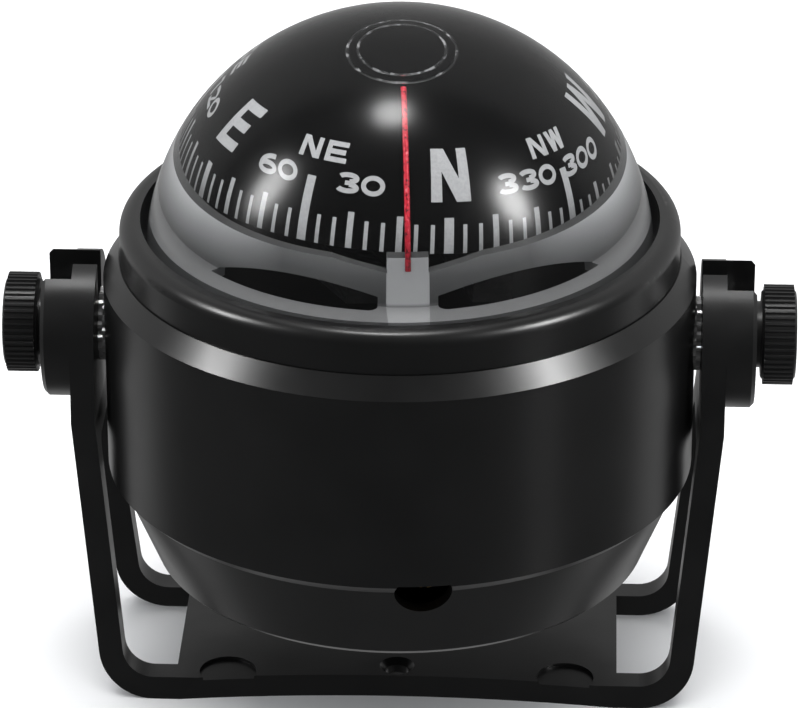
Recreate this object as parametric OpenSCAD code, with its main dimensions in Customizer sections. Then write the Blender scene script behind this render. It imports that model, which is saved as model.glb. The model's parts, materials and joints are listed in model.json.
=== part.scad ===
// Bracket-mounted liquid binnacle compass.
// Millimetres, +Z up. The bracket stands on Z = 0 and is centred on X = 0, Y = 0.
// The lubber line faces -Y. The tilt axis runs along X at pivot_h.

/* [Bracket] */
// Height of the tilt axis above the underside of the bracket
pivot_h = 46.9; // [46.5:0.1:60]
// Thickness of the bracket strap
strap_t = 3.05; // [2.4:0.05:3.2]
// Radius of the round arm heads
head_r = 9.4; // [8.6:0.1:11]
// How far each arm leans in towards its foot, in degrees
arm_lean = 5.5; // [3:0.5:6]
// Outer radius of the bends between arms and base
bend_r = 7; // [5:0.5:9]
// Half the depth of the bracket at its bends
foot_half = 13.9; // [13:0.1:17]
// Half the depth of the base plate at its middle
waist_half = 12.0; // [12:0.1:13]
// Width of each leg beside the windows
leg_w = 3.3; // [2.5:0.1:4.5]
// Radius of the two mounting holes
screw_hole_r = 1.5; // [1.2:0.05:1.7]
// Distance between the two mounting holes
screw_spacing = 18.8; // [16:0.2:18.8]

/* [Knobs] */
// Overall width over the two knobs
knob_span = 100; // [98:0.5:106]
// Radius of the knob heads over their ribs
knob_r = 6.35; // [5.5:0.05:8]
// Number of ribs round each knob head
knob_ribs = 48; // [24:1:60]
// Radius of the threaded studs
stud_r = 2; // [1.8:0.1:2.1]

/* [Body] */
// Radius of the housing
body_r = 37.35; // [37:0.05:37.5]
// Radius of the bezel ring
bezel_r = 35.2; // [34.8:0.05:35.2]
// Outer radius of the clear dome
dome_r = 32; // [31.5:0.1:32]
// Thickness of the clear dome
dome_t = 1.8; // [1.2:0.1:2]
// Angle by which the sealed capsule sits turned in its housing, in degrees
capsule_yaw = 4.4; // [-8:0.1:8]
// Angle from dead ahead to the front access hole, in degrees
access_yaw = 6.8; // [0:0.1:9]

/* [Card] */
// Radius of the domed compass card
card_r = 21.55; // [20:0.05:21.9]
// Thickness of the card
card_t = 0.9; // [0.6:0.1:1.2]
// Heading that the card shows at rest, in degrees
card_heading = 11.9; // [-180:0.1:180]
// How far the resting card tips its front edge up, in degrees
card_rest_pitch = 8; // [-10:0.5:10]
// How far the resting card tips to the right, in degrees
card_rest_roll = 2.9; // [-10:0.1:10]

/* [Hidden] */
$fa = 3;
$fs = 0.35;
eps = 0.01;
gap = 0.05;          // clearance between faces that meet

// Bracket
arm_in_x = 38.05;                      // inner face of the arm heads
arm_out_x = arm_in_x + strap_t;
boss_t = 3.75;
boss_r = head_r - 0.1;
boss_x = arm_out_x + boss_t;
boss_edge = 0.5;
arm_bend_z = pivot_h - head_r;         // where the arms start to lean
bend_x = arm_out_x - (arm_bend_z - bend_r * (1 - sin(arm_lean))) * tan(arm_lean) - bend_r * cos(arm_lean);
window_top_z = pivot_h - head_r - 3.2;
window_corner_r = 2;
plate_half_x = 28.3;                   // half the width of the solid base plate
pocket_depth = 1.2;
pocket_half_x = 26.7;
pocket_half_y = 10.7;
slot_r = 2.15;
recess_r = 4.5;
mark_r = 3.65;                         // round recesses on the front corners of the base plate
mark_x = 21.7;
mark_y = 11.6;
mark_depth = 0.4;
sink_r = 2.25;                         // countersinks of the mounting holes
sink_depth = 0.75;

// Knobs, studs and washers
knob_x = knob_span / 2;
knob_head_t = 4.35;
knob_head_x = knob_x - knob_head_t;
neck_r = 4.2;
thrust_t = 0.8;
thrust_x = arm_out_x + gap;
neck_x = thrust_x + thrust_t + gap;
rib_h = 0.3;
knob_rim = 0.6;
knob_dish_r = 4.4;
knob_dish = 0.4;
stud_in_x = 31.6;
stud_out_x = 47.2;
tooth_r = 4.7;
tooth_count = 18;
tooth_size = 0.9;
spot_x = 36.8;                         // flat spot face on each side of the housing
spot_r = 4.95;
insert_r = 3;
insert_x = 30.8;

// Housing, heights measured from the tilt axis
shell_t = 2;
bore_r = bezel_r + gap;
shoulder_z = 8.2;
shoulder_top_z = 10.7;
ledge_z = 6.2;
ledge_t = 2;
ledge_r = 31.8;
web_z = -12.6;
web_t = 1.4;
web_r = 18;
split_z = -18.4;                       // joint between housing and bottom cover
skirt_edge = 1.3;
pillar_count = 3;
pillar_ring_r = 26;
pillar_r = 3;
pillar_z = -24;
pilot_r = 1.5;
inner_boss_r = 5;

// Bottom cover
cover_top_r = 36;
cover_bottom_r = 31.6;
cover_bottom_z = -29.7;
cover_t = 1.8;
cover_edge = 0.6;
spigot_h = 2.4;
tube_r = 4.2;
head_bore_r = 3;
head_bore_z = -26.6;
access_r = 3.55;
access_z = -18.3;
access_top_z = -16.9;
side_access_r = 2.4;

// Bezel, dome and capsule
bezel_top_z = 16;
bezel_lip_r = 32.55;
bezel_crown = 1.8;
flange_r = 33.8;
capsule_flange_z = ledge_z + gap;
capsule_flange_t = 1.75;
dome_base_z = capsule_flange_z + capsule_flange_t + gap;
dome_z = 10;                           // centre of the dome's sphere
dome_flange_t = 2;
capsule_r = 29.6;
capsule_t = 1.8;
capsule_in_r = capsule_r - capsule_t;
floor_z = -8.5;
floor_t = 1.8;
groove_r = 31.8;
gasket_r = 0.6;
crown_mark_tilt = 12;                  // moulding mark, forward of the crown
crown_mark_r = 6.5;
crown_mark_w = 0.35;
crown_mark_depth = 0.25;

// Grey inner frame and red lubber line
deck_z = 13.9;
deck_t = 1.2;
frame_r = 29.5;
frame_foot_t = 1.6;
frame_wall_in_r = 23;
frame_wall_t = 1.4;
frame_wall_z = 20.6;
frame_gap_from = 8;                    // the two front slots of the frame, degrees from the lubber post
frame_gap_to = 57;
frame_gap_r = 25.8;
frame_gap_corner = 1.2;
frame_arch_at = 29;                    // the arched foot of the wall over each slot
frame_arch_r = 27;
frame_arch_z = 17.7;
frame_dip_w = 8.5;                     // beside the post the top of the wall falls away
frame_dip = 1.9;
post_w = 4.7;
post_out_r = 24.6;
post_z = 21.2;
lubber_r = 0.33;
lubber_z = 13.54;                      // centre and radius of the lubber line's arc
lubber_arc_r = 25.64;
lubber_from = 13.8;                    // ends of the arc, in degrees above its centre
lubber_to = 64.6;

// Card, pivot and magnets
tip_z = 17.1;                          // point that the card turns and tips on
rim_h = 0.25;                          // heights from here to hub_low_h are above that point
float_t = 0.9;
holder_h = 3.1;
hub_h = 3.8;
holder_low_h = -0.4;
hub_low_h = -1.1;
hub_r = 3.6;
jewel_r = 1.1;
holder_r = 2;
magnet_l = 26;
magnet_w = 4;
magnet_h = 3.8;
magnet_x = 6.6;
magnet_low_h = -7.6;
post_base_r = 5;
post_r = 2.2;
post_step_z = 4;
post_top_r = 1.2;
post_top_z = 9.5;
post_spigot_r = 1.5;
pin_r = 0.6;
pin_z = 6;
pin_cone_z = 14.8;
pin_tip_r = 0.04;
tip_gap = 0.1;
jewel_cone = 45;                       // half angle of the cup in the jewel

// Diaphragm under the capsule
diaphragm_r = 18.4;
diaphragm_t = 0.75;
clamp_in_r = 15;
clamp_out_r = 22.4;
clamp_t = 2.6;
clamp_screw_r = 20.4;
clamp_screw_count = 4;
clamp_thread_r = 0.8;
clamp_boss_r = 1.9;
clamp_boss_h = 3;
port_ring_r = 11;
port_r = 2;
plug_ring_r = 25.1;
plug_r = 1.9;

// Compensator under the housing web
carrier_z = web_z - web_t - gap;
carrier_t = 1.6;
carrier_out_r = 20.5;
carrier_in_r = 9;
carrier_screw_r = 19.3;                // ring of the two carrier screws
carrier_screw_turn = 30;
carrier_thread_r = 0.7;
bearing_drop = 2.6;                    // bearings reach this far below the rods' centres
bearing_at = 14;
bearing_w = 6;
bearing_t = 3;
rod_r = 1.4;
rod_head_r = 2.1;
rod_head_l = 2.4;
rod_reach = 31;
rod_tail = 17;
rod_slot = 0.6;
ns_x = 4.25;
ns_z = -18.3;
ew_z = -23.5;
comp_magnet_r = 1.1;
comp_magnet_l = 7;
ns_magnet_y = 4.6;
ew_magnet_x = -7;

// ---------- helpers ----------

// Moves a sub-part drawn about the tilt axis to its height
module at_axis() translate([0, 0, pivot_h]) children();

// Cylinder along X between two positions
module x_cyl(r, x0, x1) translate([x0, 0, 0]) rotate([0, 90, 0]) cylinder(r = r, h = x1 - x0);

// Cone along X between two positions
module x_cone(r0, r1, x0, x1) {
    translate([x0, 0, 0]) rotate([0, 90, 0]) cylinder(r1 = r0, r2 = r1, h = x1 - x0);
}

// Cylinder along Y between two positions
module y_cyl(r, y0, y1) translate([0, y0, 0]) rotate([-90, 0, 0]) cylinder(r = r, h = y1 - y0);

// Upright cylinder between two heights
module z_cyl(r, z0, z1) translate([0, 0, z0]) cylinder(r = r, h = z1 - z0);

// Flat ring between two heights
module ring(r_out, r_in, z0, z1) {
    difference() {
        z_cyl(r_out, z0, z1);
        z_cyl(r_in, z0 - 1, z1 + 1);
    }
}

// Copies children round Z
module around(count, first) {
    for (i = [0 : count - 1])
        rotate([0, 0, first + i * 360 / count])
            children();
}

// Mirrors children to the left and right
module both_sides() {
    children();
    mirror([1, 0, 0]) children();
}

// Outer radius of the bottom cover at a height
function cover_r_at(z) =
    cover_top_r + (cover_bottom_r - cover_top_r) * (split_z - z) / (split_z - cover_bottom_z);

// ---------- bracket ----------

// Right half of the strap, in X and Z
module strap_half() {
    foot = [bend_x + bend_r * cos(arm_lean), bend_r * (1 - sin(arm_lean))];
    foot_in = [bend_x + (bend_r - strap_t) * cos(arm_lean), bend_r - (bend_r - strap_t) * sin(arm_lean)];
    square([bend_x + eps, strap_t]);
    difference() {
        translate([bend_x, bend_r]) circle(r = bend_r);
        translate([bend_x, bend_r]) circle(r = bend_r - strap_t);
        translate([bend_x - 2 * bend_r, -bend_r]) square([2 * bend_r, 4 * bend_r]);
        translate([bend_x, bend_r])
            rotate(-arm_lean)
            translate([-2 * bend_r, 0])
            square([4 * bend_r, 2 * bend_r]);
    }
    polygon([foot_in, foot, [arm_out_x, arm_bend_z], [arm_in_x, arm_bend_z]]);
    translate([arm_in_x, arm_bend_z - eps]) square([strap_t, 3 * head_r]);
}

// Side outline of an arm: a round head on two spreading legs, in Y and Z
module arm_outline() {
    reach = sqrt(foot_half * foot_half + pivot_h * pivot_h);
    leg_top_r = head_r - 0.05;
    turn = 90 - atan2(pivot_h, foot_half) - asin(leg_top_r / reach);
    tangent_y = leg_top_r * cos(turn);
    tangent_z = pivot_h + leg_top_r * sin(turn);
    translate([0, pivot_h]) circle(r = head_r);
    polygon([[-foot_half, 0], [foot_half, 0], [tangent_y, tangent_z], [-tangent_y, tangent_z]]);
}

// Half the depth of the leg outline at a height
function leg_half_at(z) = foot_half - (foot_half - head_r) * z / pivot_h;

// Window through an arm, its bend and the side of the base, in Y and Z
module window_outline() {
    top_half = leg_half_at(window_top_z) - leg_w;
    low_half = foot_half - leg_w;
    side_z = window_top_z - window_corner_r;
    polygon([[-low_half, -1], [low_half, -1], [top_half, side_z], [-top_half, side_z]]);
    translate([-top_half + window_corner_r, side_z - eps])
        square([2 * (top_half - window_corner_r), window_corner_r + eps]);
    for (s = [-1, 1])
        translate([s * (top_half - window_corner_r), side_z]) circle(r = window_corner_r);
}

// Extrudes an outline drawn in Y and Z along X
module along_x(x0, x1) translate([x0, 0, 0]) rotate([90, 0, 90]) linear_extrude(height = x1 - x0) children();

// Round recess or slot that is open at the top of an arm head
module open_slot(r, x0, x1) {
    at_axis() {
        x_cyl(r, x0, x1);
        translate([x0, -r, 0]) cube([x1 - x0, 2 * r, 2 * head_r]);
    }
}

// Arm boss with a bevelled outer edge
module arm_boss() {
    at_axis() {
        x_cyl(boss_r, arm_out_x - strap_t / 2, boss_x - boss_edge);
        x_cone(boss_r, boss_r - boss_edge, boss_x - boss_edge, boss_x);
    }
}

module bracket() {
    waist_r = 205;
    color([0.05, 0.05, 0.055])
    difference() {
        union() {
            intersection() {
                rotate([90, 0, 0])
                    translate([0, 0, -2 * foot_half])
                    linear_extrude(height = 4 * foot_half)
                    union() {
                        strap_half();
                        mirror([1, 0]) strap_half();
                    }
                along_x(-knob_x, knob_x) arm_outline();
            }
            both_sides() arm_boss();
        }
        for (s = [-1, 1])
            translate([0, s * (waist_half + waist_r), -1]) cylinder(r = waist_r, h = strap_t + 2, $fn = 720);
        both_sides() along_x(plate_half_x, knob_x) window_outline();
        both_sides() open_slot(slot_r, arm_in_x - 1, arm_out_x + 1);
        both_sides() open_slot(recess_r, arm_out_x, boss_x + 1);
        translate([-pocket_half_x, -pocket_half_y, -1])
            cube([2 * pocket_half_x, 2 * pocket_half_y, pocket_depth + 1]);
        for (s = [-1, 1])
            translate([0, s * screw_spacing / 2, 0]) {
                z_cyl(screw_hole_r, -1, strap_t + 1);
                translate([0, 0, strap_t - sink_depth])
                    cylinder(r1 = screw_hole_r, r2 = sink_r, h = sink_depth + eps);
            }
        both_sides() translate([mark_x, -mark_y, strap_t - mark_depth]) cylinder(r = mark_r, h = 1);
    }
}

// ---------- clamping parts ----------

// Disc with pointed teeth round its rim, in Y and Z
module toothed_disc(turn) {
    difference() {
        circle(r = tooth_r);
        circle(r = slot_r);
        for (i = [0 : tooth_count - 1])
            rotate(turn + i * 360 / tooth_count)
                translate([tooth_r, 0])
                rotate(45)
                square(tooth_size, center = true);
    }
}

// Washer with two rows of teeth, each row between the other's
module tooth_washer() {
    row_t = (arm_in_x - spot_x) / 2 - gap;
    along_x(spot_x + gap, spot_x + gap + row_t) toothed_disc(0);
    along_x(spot_x + gap + row_t, arm_in_x - gap) toothed_disc(180 / tooth_count);
}

module tooth_washers() {
    color([0.62, 0.62, 0.64])
    at_axis() both_sides() tooth_washer();
}

module thrust_washer() {
    difference() {
        x_cyl(neck_r, thrust_x, thrust_x + thrust_t);
        x_cyl(stud_r + 0.1, thrust_x - 1, thrust_x + thrust_t + 1);
    }
}

module thrust_washer_right() {
    color([0.7, 0.7, 0.72])
    at_axis() thrust_washer();
}

module thrust_washer_left() {
    color([0.7, 0.7, 0.72])
    at_axis() mirror([1, 0, 0]) thrust_washer();
}

// Ribbed outline of a knob head, in Y and Z. Each rib has a flat top and sloping sides
module knob_outline() {
    step = 360 / knob_ribs;
    corners = [[-0.5, 0], [-0.32, 0], [-0.14, rib_h], [0.14, rib_h], [0.32, 0]];
    polygon([
        for (i = [0 : knob_ribs - 1], c = corners)
            (knob_r - rib_h + c[1]) * [cos((i + c[0]) * step), sin((i + c[0]) * step)]]);
}

// Ribbed knob head on a plain neck
module knob() {
    core_r = knob_r - rib_h;
    difference() {
        union() {
            x_cyl(neck_r, neck_x, knob_head_x + eps);
            x_cone(core_r - knob_rim, core_r - 0.05, knob_head_x, knob_head_x + knob_rim);
            along_x(knob_head_x + knob_rim / 2, knob_x - knob_rim / 2) knob_outline();
            x_cone(core_r - 0.05, core_r - knob_rim, knob_x - knob_rim, knob_x);
        }
        x_cyl(stud_r, neck_x - 1, stud_out_x);
        x_cyl(knob_dish_r, knob_x - knob_dish, knob_x + 1);
    }
}

module knob_right() {
    color([0.06, 0.06, 0.065])
    at_axis() knob();
}

module knob_left() {
    color([0.06, 0.06, 0.065])
    at_axis() mirror([1, 0, 0]) knob();
}

// Threaded stud with a bevelled point
module stud() {
    point = 0.6;
    x_cone(stud_r - point, stud_r, stud_in_x, stud_in_x + point);
    x_cyl(stud_r, stud_in_x + point - eps, stud_out_x);
}

module stud_right() {
    color([0.72, 0.72, 0.74])
    at_axis() stud();
}

module stud_left() {
    color([0.72, 0.72, 0.74])
    at_axis() mirror([1, 0, 0]) stud();
}

module trunnion_inserts() {
    flange = 0.7;
    color([0.8, 0.65, 0.32])
    at_axis() both_sides()
    difference() {
        union() {
            x_cyl(insert_r, insert_x - flange, spot_x - gap);
            x_cyl(insert_r + 0.8, insert_x - flange, insert_x - gap);
        }
        x_cyl(stud_r + gap, insert_x - 2, spot_x + 1);
    }
}

// ---------- housing and bottom cover ----------

// Round access hole through the front of the skirt, drawn along the radius
module front_access() {
    rotate([0, 0, access_yaw])
        translate([0, 0, access_z])
        y_cyl(access_r, -body_r - 1, -pillar_ring_r - pillar_r);
}

module housing_shell() {
    in_r = body_r - shell_t;
    rotate_extrude()
    polygon([
        [in_r, split_z], [body_r - skirt_edge, split_z], [body_r, split_z + skirt_edge],
        [body_r, shoulder_z], [bore_r + 0.15, shoulder_top_z], [bore_r, shoulder_top_z],
        [bore_r, ledge_z], [ledge_r, ledge_z], [ledge_r, ledge_z - ledge_t],
        [in_r, ledge_z - ledge_t], [in_r, web_z], [web_r, web_z],
        [web_r, web_z - web_t], [in_r, web_z - web_t]]);
}

module housing() {
    color([0.03, 0.03, 0.035])
    at_axis()
    difference() {
        union() {
            housing_shell();
            both_sides()
                intersection() {
                    x_cyl(inner_boss_r, insert_x, body_r - shell_t / 2);
                    z_cyl(body_r - shell_t / 2, -inner_boss_r - 1, ledge_z);
                }
            around(pillar_count, 90)
                translate([pillar_ring_r, 0, 0])
                z_cyl(pillar_r, pillar_z, web_z - web_t + eps);
        }
        both_sides() x_cyl(insert_r + gap, insert_x - 1, body_r + 1);
        both_sides() x_cyl(spot_r, spot_x, body_r + 1);
        around(pillar_count, 90)
            translate([pillar_ring_r, 0, 0])
            z_cyl(pilot_r, pillar_z - 1, web_z + 1);
        around(2, carrier_screw_turn)
            translate([carrier_screw_r, 0, 0])
            z_cyl(carrier_thread_r + gap, web_z - web_t - 1, web_z + 1);
        intersection() {
            front_access();
            z_cyl(body_r + 2, split_z - 2, access_top_z);
        }
    }
}

module bottom_cover() {
    in_top = split_z - gap;
    floor_top = cover_bottom_z + cover_t;
    color([0.03, 0.03, 0.035])
    at_axis()
    difference() {
        union() {
            rotate_extrude()
            polygon([
                [0, cover_bottom_z], [cover_bottom_r - cover_edge, cover_bottom_z],
                [cover_bottom_r, cover_bottom_z + cover_edge], [cover_top_r, in_top],
                [body_r - shell_t - gap, in_top], [body_r - shell_t - gap, in_top + spigot_h],
                [body_r - 2 * shell_t, in_top + spigot_h], [body_r - 2 * shell_t, in_top - 1],
                [cover_r_at(floor_top) - cover_t, floor_top], [0, floor_top]]);
            around(pillar_count, 90)
                translate([pillar_ring_r, 0, 0])
                z_cyl(tube_r, floor_top - eps, pillar_z - gap);
        }
        around(pillar_count, 90)
            translate([pillar_ring_r, 0, 0]) {
                z_cyl(pilot_r + 0.2, cover_bottom_z - 1, pillar_z + 1);
                z_cyl(head_bore_r, cover_bottom_z - 1, head_bore_z);
            }
        front_access();
        translate([0, 0, ew_z]) x_cyl(side_access_r, rod_reach - 2, body_r);
    }
}

module cover_screws() {
    head_t = 2;
    color([0.6, 0.6, 0.62])
    at_axis()
    around(pillar_count, 90)
        translate([pillar_ring_r, 0, 0])
        difference() {
            union() {
                z_cyl(head_bore_r - 0.25, head_bore_z - gap - head_t, head_bore_z - gap);
                z_cyl(pilot_r - gap, head_bore_z - gap - eps, pillar_z + 8);
            }
            translate([-0.4, -head_bore_r, head_bore_z - gap - head_t - 1]) cube([0.8, 2 * head_bore_r, 1.9]);
            translate([-head_bore_r, -0.4, head_bore_z - gap - head_t - 1]) cube([2 * head_bore_r, 0.8, 1.9]);
        }
}

// ---------- bezel, dome and capsule ----------

module bezel_ring() {
    crown_x = bezel_r - bezel_crown;
    crown_z = bezel_top_z - bezel_crown;
    lip_z = dome_base_z + dome_flange_t + gap;
    color([0.03, 0.03, 0.035])
    at_axis()
    rotate_extrude()
    union() {
        translate([bezel_lip_r, lip_z]) square([bezel_r - bezel_lip_r, crown_z - lip_z]);
        translate([bezel_lip_r, crown_z - eps]) square([crown_x - bezel_lip_r, bezel_crown + eps]);
        translate([flange_r + gap, ledge_z + gap]) square([bezel_r - flange_r - gap, lip_z - ledge_z]);
        intersection() {
            translate([crown_x, crown_z]) circle(r = bezel_crown);
            translate([crown_x - eps, crown_z - eps]) square(2 * bezel_crown);
        }
    }
}

// Fine ring cut in the outside of the dome
module crown_groove(r) {
    translate([0, 0, dome_z])
        rotate([crown_mark_tilt, 0, 0])
        ring(r + crown_mark_w, r, sqrt(pow(dome_r - crown_mark_depth, 2) - r * r), dome_r + 1);
}

module dome() {
    in_r = dome_r - dome_t;
    color([0.9, 0.95, 1, 0.3])
    at_axis() rotate([0, 0, capsule_yaw])
    difference() {
        rotate_extrude()
        union() {
            difference() {
                translate([0, dome_z]) circle(r = dome_r);
                translate([0, dome_z]) circle(r = in_r);
                translate([-2 * dome_r, dome_z - 2 * dome_r]) square([4 * dome_r, 2 * dome_r]);
                translate([-2 * dome_r, 0]) square([2 * dome_r, 2 * dome_r]);
            }
            translate([in_r, dome_base_z]) square([dome_t, dome_z - dome_base_z + eps]);
            translate([in_r, dome_base_z]) square([flange_r - in_r, dome_flange_t]);
        }
        crown_groove(crown_mark_r);
        crown_groove(crown_mark_r - 1.3);
    }
}

module dome_gasket() {
    color([0.1, 0.1, 0.1])
    at_axis()
    rotate_extrude()
    translate([groove_r, dome_base_z - gap - gasket_r]) circle(r = gasket_r);
}

module capsule_bowl() {
    flange_top = capsule_flange_z + capsule_flange_t;
    groove = gasket_r + gap;
    color([0.08, 0.08, 0.085])
    at_axis() rotate([0, 0, capsule_yaw])
    difference() {
        union() {
            ring(flange_r - 0.1, capsule_in_r, capsule_flange_z, flange_top);
            ring(capsule_r, capsule_in_r, floor_z, capsule_flange_z + eps);
            z_cyl(capsule_in_r + eps, floor_z, floor_z + floor_t);
            around(clamp_screw_count, 45)
                translate([clamp_screw_r, 0, 0])
                z_cyl(clamp_boss_r, floor_z + floor_t - eps, floor_z + floor_t + clamp_boss_h);
        }
        ring(groove_r + groove, groove_r - groove, flange_top - 2 * groove, flange_top + 1);
        around(4, 0) translate([port_ring_r, 0, 0]) z_cyl(port_r, floor_z - 1, floor_z + floor_t + 1);
        around(clamp_screw_count, 45)
            translate([clamp_screw_r, 0, 0])
            z_cyl(clamp_thread_r + gap, floor_z - 1, floor_z + floor_t + clamp_boss_h - 0.8);
        translate([0, plug_ring_r, 0]) z_cyl(plug_r + gap, floor_z - 1, floor_z + floor_t + 1);
        z_cyl(post_spigot_r + gap, floor_z - 1, floor_z + floor_t + 1);
    }
}

module fill_plug() {
    head_t = 1.1;
    color([0.8, 0.65, 0.32])
    at_axis() rotate([0, 0, capsule_yaw])
    translate([0, plug_ring_r, 0])
    difference() {
        union() {
            z_cyl(plug_r, floor_z - gap - eps, floor_z + floor_t);
            z_cyl(plug_r + 0.7, floor_z - gap - head_t, floor_z - gap);
        }
        translate([-0.35, -plug_r - 1, floor_z - gap - head_t - 1]) cube([0.7, 2 * plug_r + 2, 1.6]);
    }
}

module diaphragm() {
    top = floor_z - gap;
    fold_in = 8.5;
    fold_out = 13.5;
    fold_h = 1.3;
    color([0.09, 0.09, 0.09])
    at_axis()
    rotate_extrude()
    polygon([
        [0, top], [fold_in, top], [fold_in + 1, top - fold_h], [fold_out - 1, top - fold_h],
        [fold_out, top], [diaphragm_r, top], [diaphragm_r, top - diaphragm_t],
        [fold_out + 0.6, top - diaphragm_t], [fold_out - 0.4, top - fold_h - diaphragm_t],
        [fold_in + 0.4, top - fold_h - diaphragm_t], [fold_in - 0.6, top - diaphragm_t],
        [0, top - diaphragm_t]]);
}

module diaphragm_ring() {
    top = floor_z - gap;
    color([0.12, 0.12, 0.12])
    at_axis() rotate([0, 0, capsule_yaw])
    difference() {
        ring(clamp_out_r, clamp_in_r, top - clamp_t, top);
        z_cyl(diaphragm_r + gap, top - diaphragm_t - gap, top + 1);
        around(clamp_screw_count, 45)
            translate([clamp_screw_r, 0, 0])
            z_cyl(clamp_thread_r + 0.2, top - clamp_t - 1, top + 1);
        around(clamp_screw_count, 45)
            translate([clamp_screw_r, 0, 0])
            z_cyl(1.8, top - clamp_t - 1, top - clamp_t + 1.3);
    }
}

module diaphragm_screws() {
    low = floor_z - gap - clamp_t;
    color([0.62, 0.62, 0.64])
    at_axis() rotate([0, 0, capsule_yaw])
    around(clamp_screw_count, 45)
        translate([clamp_screw_r, 0, 0])
        difference() {
            union() {
                z_cyl(1.65, low + 0.1, low + 1.25);
                z_cyl(clamp_thread_r, low + 1.2, floor_z + floor_t + clamp_boss_h - 1);
            }
            translate([-0.25, -2, low - 1]) cube([0.5, 4, 1.7]);
        }
}

// ---------- inner frame and lubber line ----------

// Wedge that spans two angles, measured from the front post
module wedge(from_a, to_a, r, z0, z1) {
    translate([0, 0, z0])
        rotate([0, 0, -90 + from_a])
        rotate_extrude(angle = to_a - from_a)
        square([r, z1 - z0]);
}

// Slot to the right of the lubber post, through the deck and the foot of the wall
module frame_slot() {
    deck_top = deck_z + deck_t + eps;
    difference() {
        union() {
            wedge(frame_gap_from, frame_gap_to, frame_gap_r, deck_z - 1, deck_top);
            intersection() {
                wedge(frame_gap_from, frame_gap_to, frame_gap_r, deck_z, frame_arch_z + 1);
                rotate([0, 0, frame_arch_at])
                    translate([0, 0, frame_arch_z - frame_arch_r])
                    y_cyl(frame_arch_r, -frame_gap_r - 1, 0);
            }
        }
        rotate([0, 0, frame_gap_from])
            translate([0, -frame_gap_r, 0])
            difference() {
                translate([-1, -1, deck_z - 2])
                    cube([frame_gap_corner + 1, frame_gap_corner + 1, deck_t + 4]);
                translate([frame_gap_corner, frame_gap_corner, 0])
                    z_cyl(frame_gap_corner, deck_z - 3, deck_top + 3);
            }
    }
}

// Cut to the right of the post that makes the top of the wall fall towards it
module wall_dip() {
    fall = frame_dip / frame_dip_w;
    beyond = 2;
    rotate([90, 0, 0])
        linear_extrude(frame_gap_r)
        polygon([
            [-beyond, frame_wall_z - frame_dip - beyond * fall],
            [frame_dip_w + beyond, frame_wall_z + beyond * fall],
            [-beyond, frame_wall_z + beyond]
        ]);
}

module lubber_frame() {
    color([0.66, 0.67, 0.68])
    at_axis() rotate([0, 0, capsule_yaw])
    union() {
        difference() {
            union() {
                ring(frame_r, frame_r - frame_foot_t, dome_base_z, deck_z + eps);
                ring(frame_r, frame_wall_in_r, deck_z, deck_z + deck_t);
                ring(frame_wall_in_r + frame_wall_t, frame_wall_in_r, deck_z + deck_t - eps, frame_wall_z);
            }
            both_sides() frame_slot();
            both_sides() wall_dip();
        }
        intersection() {
            translate([-post_w / 2, -post_out_r, deck_z]) cube([post_w, post_out_r, post_z - deck_z]);
            ring(post_out_r, frame_wall_in_r, deck_z, post_z);
        }
    }
}

module lubber_line() {
    color([0.8, 0.05, 0.05])
    at_axis() rotate([0, 0, capsule_yaw])
    translate([0, 0, lubber_z])
    rotate([0, 90, 0])
    rotate([0, 0, -90 - lubber_from])
    mirror([0, 1, 0])
    rotate_extrude(angle = lubber_to - lubber_from)
    translate([lubber_arc_r, 0]) circle(r = lubber_r);
}

// ---------- card and pivot ----------

module pivot_post() {
    base_z = floor_z + floor_t + gap;
    color([0.15, 0.15, 0.15])
    at_axis()
    difference() {
        union() {
            z_cyl(post_spigot_r, floor_z, base_z + eps);
            z_cyl(post_base_r, base_z, base_z + 1.5);
            z_cyl(post_r, base_z, post_step_z);
            translate([0, 0, post_step_z - eps]) cylinder(r1 = post_r, r2 = post_top_r, h = 1.5);
            z_cyl(post_top_r, post_step_z + 1, post_top_z);
        }
        z_cyl(pin_r, pin_z, post_top_z + 1);
    }
}

module pivot_pin() {
    color([0.75, 0.75, 0.77])
    at_axis() {
        z_cyl(pin_r, pin_z, pin_cone_z);
        translate([0, 0, pin_cone_z - eps])
            cylinder(r1 = pin_r, r2 = pin_tip_r, h = tip_z - tip_gap - pin_cone_z);
    }
}

// Moves a sub-part drawn about the pivot point to the resting card's place
module on_pivot() {
    at_axis()
        translate([0, 0, tip_z])
        rotate([-card_rest_pitch, card_rest_roll, 0])
        rotate([0, 0, capsule_yaw + card_heading])
        children();
}

module pivot_jewel() {
    depth = 2;
    color([0.6, 0.1, 0.2])
    on_pivot()
    difference() {
        sphere(r = jewel_r);
        translate([0, 0, -depth]) cylinder(r1 = depth * tan(jewel_cone), r2 = 0.02, h = depth);
    }
}

module jewel_holder() {
    color([0.8, 0.65, 0.32])
    on_pivot()
    difference() {
        z_cyl(holder_r, holder_low_h, holder_h);
        sphere(r = jewel_r + gap);
    }
}

module card() {
    in_r = card_r - card_t;
    color([0.02, 0.02, 0.02])
    on_pivot()
    rotate_extrude()
    difference() {
        circle(r = card_r);
        circle(r = in_r);
        translate([-2 * card_r, rim_h - 4 * card_r]) square([4 * card_r, 4 * card_r]);
        translate([-2 * card_r, 0]) square([2 * card_r, 2 * card_r]);
    }
}

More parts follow.
